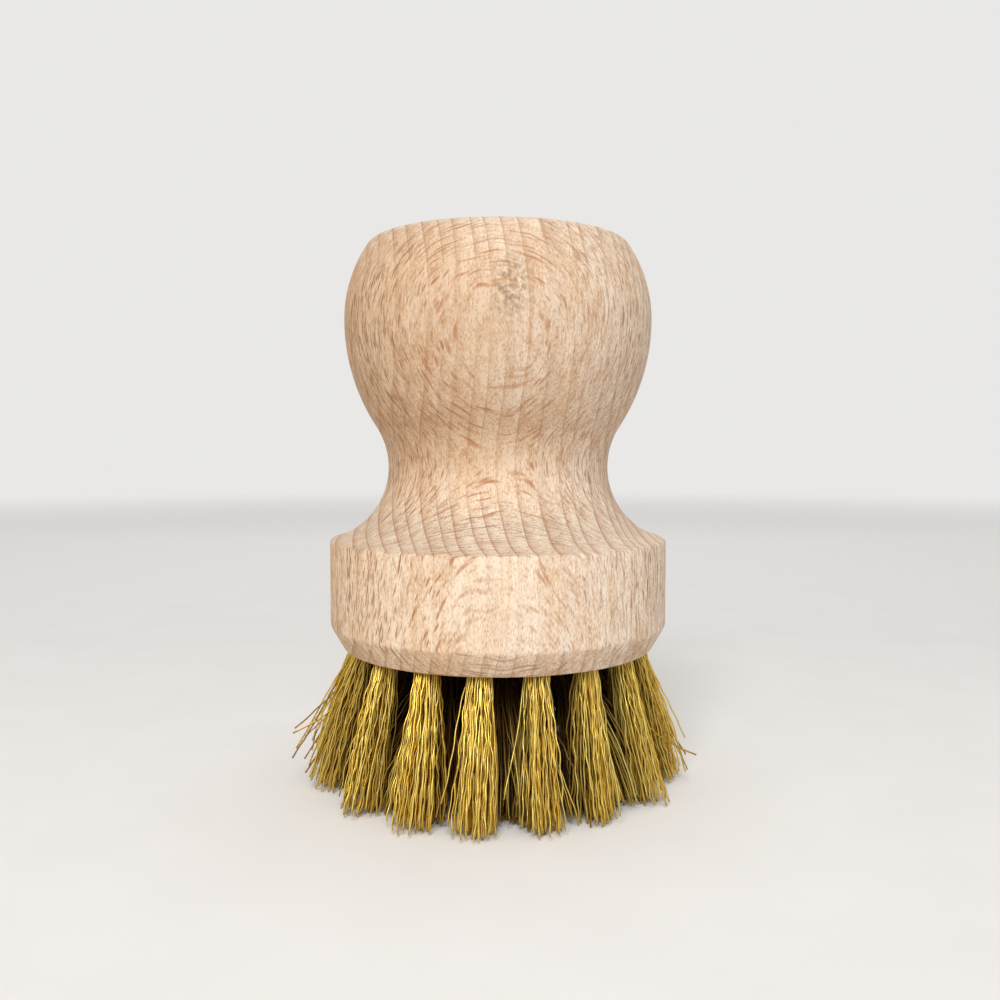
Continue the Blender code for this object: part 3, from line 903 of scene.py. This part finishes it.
def drill(bm, tuft_frame):
    """Straight bore with the pointed bottom that a drill leaves."""
    straight = CUT_OVERRUN + HOLE_DEPTH
    point = HOLE_RADIUS / math.tan(DRILL_POINT_ANGLE / 2)
    bore = bmesh.ops.create_cone(
        bm, cap_ends=True, segments=HOLE_SIDES, radius1=HOLE_RADIUS, radius2=HOLE_RADIUS, depth=straight,
        matrix=tuft_frame @ Matrix.Translation((0, 0, straight / 2 - CUT_OVERRUN)),
    )
    inwards = tuft_frame.to_3x3() @ Vector((0, 0, 1))
    faces = {face for vert in bore["verts"] for face in vert.link_faces}
    bottom = max(faces, key=lambda face: face.calc_center_median().dot(inwards))
    tip = bmesh.ops.poke(bm, faces=[bottom])["verts"]
    bmesh.ops.translate(bm, verts=tip, vec=inwards * point)


def cut_from(item, cutter):
    """Subtract the cutter from an object for good, and throw the cutter away."""
    cut = item.modifiers.new("holes", "BOOLEAN")
    cut.operation = "DIFFERENCE"
    cut.solver = "EXACT"
    cut.object = cutter
    bpy.context.view_layer.update()
    depsgraph = bpy.context.evaluated_depsgraph_get()
    finished = bpy.data.meshes.new_from_object(item.evaluated_get(depsgraph))
    item.modifiers.clear()
    item.data = finished
    bpy.data.objects.remove(cutter)


def ring_frames(ring):
    """Frames of one ring's tufts. Angles count from the front, positive towards +X."""
    radius = OUTER_RING_RADIUS * RING_RADIUS_SHARES[ring]
    tuft_lean = OUTER_LEAN * RING_RADIUS_SHARES[ring]
    count = RING_TUFT_COUNTS[ring]
    frames = []
    for index in range(count):
        turn = RING_FIRST_ANGLES[ring] + math.tau * index / count - math.pi / 2
        tuft_frame = Matrix.Rotation(turn, 4, "Z") @ Matrix.Translation((radius, 0, WIRE_LENGTH_OUT))
        tuft_frame = tuft_frame @ Matrix.Rotation(-tuft_lean, 4, "Y")
        frames.append(tuft_frame @ Matrix.Rotation(ANCHOR_TURN, 4, "Z"))
    return frames


def straight_wire(rings):
    """Straight wire of unit radius along Z, with one ring of corners at each whole number from 0."""
    bm = bmesh.new()
    bmesh.ops.create_cone(
        bm, cap_ends=True, segments=WIRE_SIDES, radius1=1.0, radius2=1.0, depth=rings - 1,
        matrix=Matrix.Translation((0, 0, (rings - 1) / 2)),
    )
    upright = [edge for edge in bm.edges if abs(edge.verts[0].co.z - edge.verts[1].co.z) > 0.5]
    bmesh.ops.subdivide_edges(bm, edges=upright, cuts=rings - 2, use_grid_fill=True)
    mesh = bpy.data.meshes.new("straight_wire")
    bm.to_mesh(mesh)
    bm.free()
    return mesh


def root_pairs(ends):
    """Roots of the two legs of each folded wire, as (x, y) pairs that share their place along X."""
    points = []
    for index in range(ends):
        reach = ROOT_REACH * math.sqrt((index + 0.5) / ends)
        turn = index * GOLDEN_ANGLE + FIRST_ROOT_TURN
        points.append((reach * math.cos(turn), reach * math.sin(turn)))
    near = sorted(point for point in points if point[1] < 0)
    far = sorted(point for point in points if point[1] >= 0)
    return list(zip(near, far))


def leg_points(root, tuft_frame, ring, sway, chance, loose=None):
    """Way of one leg from its tip up to the mouth. A loose wire has its tip's place in the room given."""
    steps = RING_LEG_STEPS[ring]
    start = Vector((*root, 0.0))
    if loose:
        tip = tuft_frame.inverted() @ Vector(loose[0])
    else:
        tip = fanned_tip(start, tuft_frame, ring, sway, chance)
        ease = FAN_EASE * chance.uniform(*FAN_EASE_RANGE)
    wave = sideways_wave((tip - start).length, loose, chance)
    points = []
    for step in range(steps + 1):
        share = 1 - step / steps
        fan = share ** loose[1] if loose else 1 - (1 - share) ** ease
        (crimp_x, crimp_y), (bow_x, bow_y) = wave(share)
        point = Vector((
            start.x + (tip.x - start.x) * fan + crimp_x + bow_x,
            start.y + (tip.y - start.y) * fan + crimp_y + bow_y,
            tip.z * share,
        ))
        points.append(point)
    return points


def fanned_tip(start, tuft_frame, ring, sway, chance):
    """Tip of a wire that stays in its tuft: fanned out, twisted and scattered, and at a height of its own."""
    turned = Matrix.Rotation(chance.gauss(0, TWIST), 3, "Z") @ start
    tip = turned * (TIP_SPREAD_RADII[ring] / ROOT_REACH) * chance.uniform(*TIP_SPREAD_RANGE) + sway
    tip += tip_shift(tuft_frame, 0.0, chance.gauss(0, TIP_SIDE_SCATTERS[ring]))
    tip.x += chance.gauss(0, TIP_SCATTER)
    tip.y += chance.gauss(0, TIP_SCATTER)
    height = tip_height(start, chance) + side_rise(tuft_frame, tip)
    up = tuft_frame.to_3x3().inverted() @ Vector((0, 0, 1))
    tip.z = (height - WIRE_LENGTH_OUT - up.x * tip.x - up.y * tip.y) / up.z
    return tip


def tip_height(start, chance):
    """Height of a tip: a little uneven, more so at the rim of the tuft, and a few wires are short."""
    height = TIP_LOWEST + abs(chance.gauss(0, TIP_UNEVENNESS / 2))
    height += EDGE_WIRE_RISE * chance.random() * (start.length / ROOT_REACH) ** EDGE_RISE_POWER
    if chance.random() < SHORT_WIRE_SHARE:
        height += chance.uniform(0, SHORT_WIRE_MOST)
    return height


def sideways_wave(length, loose, chance):
    """Short crimp and long bow of one leg, both as (x, y) shifts at a share of the way down."""
    crimp_turn = chance.uniform(0, math.tau)
    crimp_phase = chance.uniform(0, math.tau)
    bow_turn = chance.uniform(0, math.tau)
    bow_phase = chance.uniform(0, math.tau)
    crimp_height = CRIMP_HEIGHT * (LOOSE_CRIMP_SHARE if loose else chance.uniform(*CRIMP_HEIGHT_RANGE))
    crimp_pace = chance.uniform(*CRIMP_PACE_RANGE) * math.tau * length / CRIMP_LENGTH
    bow_pace = math.tau * length / BOW_LENGTH

    def wave(share):
        free = min(1.0, share / CRIMP_START_SHARE)
        crimp = crimp_height * free * math.sin(crimp_phase + crimp_pace * share)
        bow = BOW_HEIGHT * free * (math.sin(bow_phase + bow_pace * share) - math.sin(bow_phase))
        return (
            (crimp * math.cos(crimp_turn), crimp * math.sin(crimp_turn)),
            (bow * math.cos(bow_turn), bow * math.sin(bow_turn)),
        )

    return wave


def side_rise(tuft_frame, tip):
    """How far the tip is bent up because the brush was rocked from side to side."""
    reach = abs((tuft_frame @ Vector((tip.x, tip.y, -WIRE_LENGTH_OUT))).x)
    low, high = SIDE_RISE_REACHES
    return SIDE_RISE * min(1.0, max(0.0, (reach - low) / (high - low)))


def fold_points(root, far_side):
    """Way of one leg from inside the hole to the top of its fold over the anchor."""
    side = 1 if far_side else -1
    room = ANCHOR_HALF_ROOM + abs(root[1]) * (1 - ANCHOR_HALF_ROOM / BUNDLE_RADIUS)
    rise = abs(root[1]) * FOLD_RISE_SHARE
    depths = (STRAIGHT_DEPTH, FOLD_DEPTH, FOLD_DEPTH + WIRE_DIAMETER + rise)
    return [
        Vector((root[0] * along, side * room * across, depth))
        for along, across, depth in zip(FOLD_ALONG_SHARES, FOLD_ACROSS_SHARES, depths)
    ]


def lay_wire(bm, template, points, tone, tone_layer):
    """Copy the straight wire and bend it along the points."""
    first = len(bm.verts)
    bm.from_mesh(template)
    bm.verts.ensure_lookup_table()
    rings = []
    for index, point in enumerate(points):
        ahead = points[min(index + 1, len(points) - 1)] - points[max(index - 1, 0)]
        ahead.normalize()
        across = Vector((1, 0, 0)) - ahead * ahead.x
        across.normalize()
        rings.append((point, across, ahead.cross(across)))
    radius = WIRE_DIAMETER / WIDTH_PER_CORNER_RADIUS
    for vert in bm.verts[first:]:
        point, across, other = rings[round(vert.co.z)]
        vert.co = point + (across * vert.co.x + other * vert.co.y) * radius
        vert[tone_layer] = tone


def tip_shift(tuft_frame, outward, sideways):
    """Shift of a whole tuft's tips, away from the axis and round it, in the tuft's own frame."""
    out = Vector((tuft_frame.translation.x, tuft_frame.translation.y, 0)).normalized()
    shift = tuft_frame.to_3x3().inverted() @ (out * outward + Vector((-out.y, out.x, 0)) * sideways)
    return Vector((shift.x, shift.y, 0))


def wire_tone_and_shade(root, chance):
    """Tone of one wire: at the rim of a tuft it is random, and it falls towards the tuft's middle, where a
    low tone brings painted shade.
    """
    inside = min(1.0, Vector(root).length / ROOT_REACH / UNSHADED_ROOT_SHARE)
    return chance.uniform(LOWEST_RIM_TONE, 1.0) * inside ** INNER_SHADE_POWER


def make_tuft(name, number, ring, tuft_frame, template, material, chance):
    """Bundle of wires, each folded over the anchor, packed in the hole and fanned out below it."""
    bm = bmesh.new()
    tone_layer = bm.verts.layers.float.new("wire_tone_and_shade")
    outward, sideways = TUFT_SHIFTS.get(name, (0.0, 0.0))
    sway = tip_shift(tuft_frame, TIPS_OUTWARD[ring] + outward, sideways + chance.gauss(0, TUFT_SWAY))
    loose_wires = [wire[1:] for wire in LOOSE_WIRES if ring == 0 and wire[0] == number]
    for near, far in root_pairs(RING_WIRE_ENDS[ring]):
        loose = loose_wires.pop() if loose_wires and near[1] < -ROOT_REACH / 2 else None
        down = leg_points(near, tuft_frame, ring, sway, chance, loose) + fold_points(near, False)
        back = leg_points(far, tuft_frame, ring, sway, chance) + fold_points(far, True)
        tone = loose[2] if loose else wire_tone_and_shade(near, chance)
        lay_wire(bm, template, down + back[::-1], tone, tone_layer)
    bm.transform(tuft_frame)
    bmesh.ops.recalc_face_normals(bm, faces=bm.faces[:])
    tuft = mesh_object(name, bm, material)
    tuft.data.shade_smooth()
    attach(tuft, "root")
    return tuft


def make_tufts(material):
    """All the tufts, each in place of its CAD node. Returns the frames of their holes."""
    chance = random.Random(WIRE_SEED)
    all_frames = []
    for ring, ring_name in enumerate(RING_NAMES):
        leg_rings = RING_LEG_STEPS[ring] + 1 + len(FOLD_ALONG_SHARES)
        template = straight_wire(2 * leg_rings)
        tuft_frames = ring_frames(ring)
        all_frames += tuft_frames
        for number, tuft_frame in enumerate(tuft_frames, 1):
            label = f"{ring_name}_{number:02d}"
            name = f"wires_{label}"
            tuft = make_tuft(name, number, ring, tuft_frame, template, material, chance)
            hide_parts(f"tuft_{label}")
    return all_frames


def dress_anchors(material):
    """The anchors keep the shape that the CAD gives them."""
    for name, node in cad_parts.items():
        if name.startswith("anchor_"):
            node.data.materials.clear()
            node.data.materials.append(material)


def make_floor(material):
    """Flat round floor at the height of the bristles' tips."""
    bm = bmesh.new()
    bmesh.ops.create_circle(bm, cap_ends=True, segments=FLOOR_SIDES, radius=FLOOR_RADIUS)
    floor = mesh_object("cloth_floor", bm, material)


def add_lamp(name, place, size, power, colour):
    """Soft square lamp that faces the brush."""
    data = bpy.data.lights.new(name, "AREA")
    data.shape = "SQUARE"
    data.size = size
    data.energy = power
    data.color = linear(colour)[:3]
    lamp = bpy.data.objects.new(name, data)
    lamp.location = place
    lamp.rotation_euler = (Vector(LAMP_AIM) - Vector(place)).to_track_quat("-Z", "Y").to_euler()
    bpy.context.scene.collection.objects.link(lamp)


def light_room():
    """Plain soft light: an even sky, one wide lamp above the camera and one overhead."""
    world = bpy.data.worlds.new("studio_light")
    world.use_nodes = True
    tree = world.node_tree
    path = add_node(tree, "ShaderNodeLightPath")
    seen = add_node(
        tree, "ShaderNodeMath", {"operation": "MAXIMUM"},
        {0: path.outputs["Is Camera Ray"], 1: path.outputs["Is Glossy Ray"]},
    )
    shown = add_node(
        tree, "ShaderNodeMath", {"operation": "MAXIMUM"},
        {0: seen.outputs[0], 1: path.outputs["Is Transmission Ray"]},
    )
    sky = add_node(
        tree, "ShaderNodeMix", {"data_type": "RGBA", 6: SKY_LIGHT, 7: linear(SKY_COLOUR_SEEN)},
        {0: shown.outputs[0]},
    )
    tree.links.new(sky.outputs[2], tree.nodes["Background"].inputs["Color"])
    bpy.context.scene.world = world
    for lamp in LAMPS:
        add_lamp(*lamp)


def add_camera():
    """Wide camera close to the front, tilted a little down."""
    data = bpy.data.cameras.new("camera")
    data.lens = CAMERA_LENS
    data.sensor_width = CAMERA_SENSOR_WIDTH
    data.clip_start = CAMERA_NEAREST
    camera = bpy.data.objects.new("camera", data)
    camera.location = CAMERA_PLACE
    camera.rotation_euler = (CAMERA_TILT, 0, 0)
    bpy.context.scene.collection.objects.link(camera)
    bpy.context.scene.camera = camera


def main():
    """Dress the frame, and set the floor, the light and the camera."""
    bpy.context.scene.view_settings.view_transform = "Standard"
    tuft_frames = make_tufts(drawn_brass())
    make_handle(turned_beech(), tuft_frames)
    dress_anchors(galvanised_steel())
    make_floor(pale_cloth())
    light_room()
    add_camera()


main()
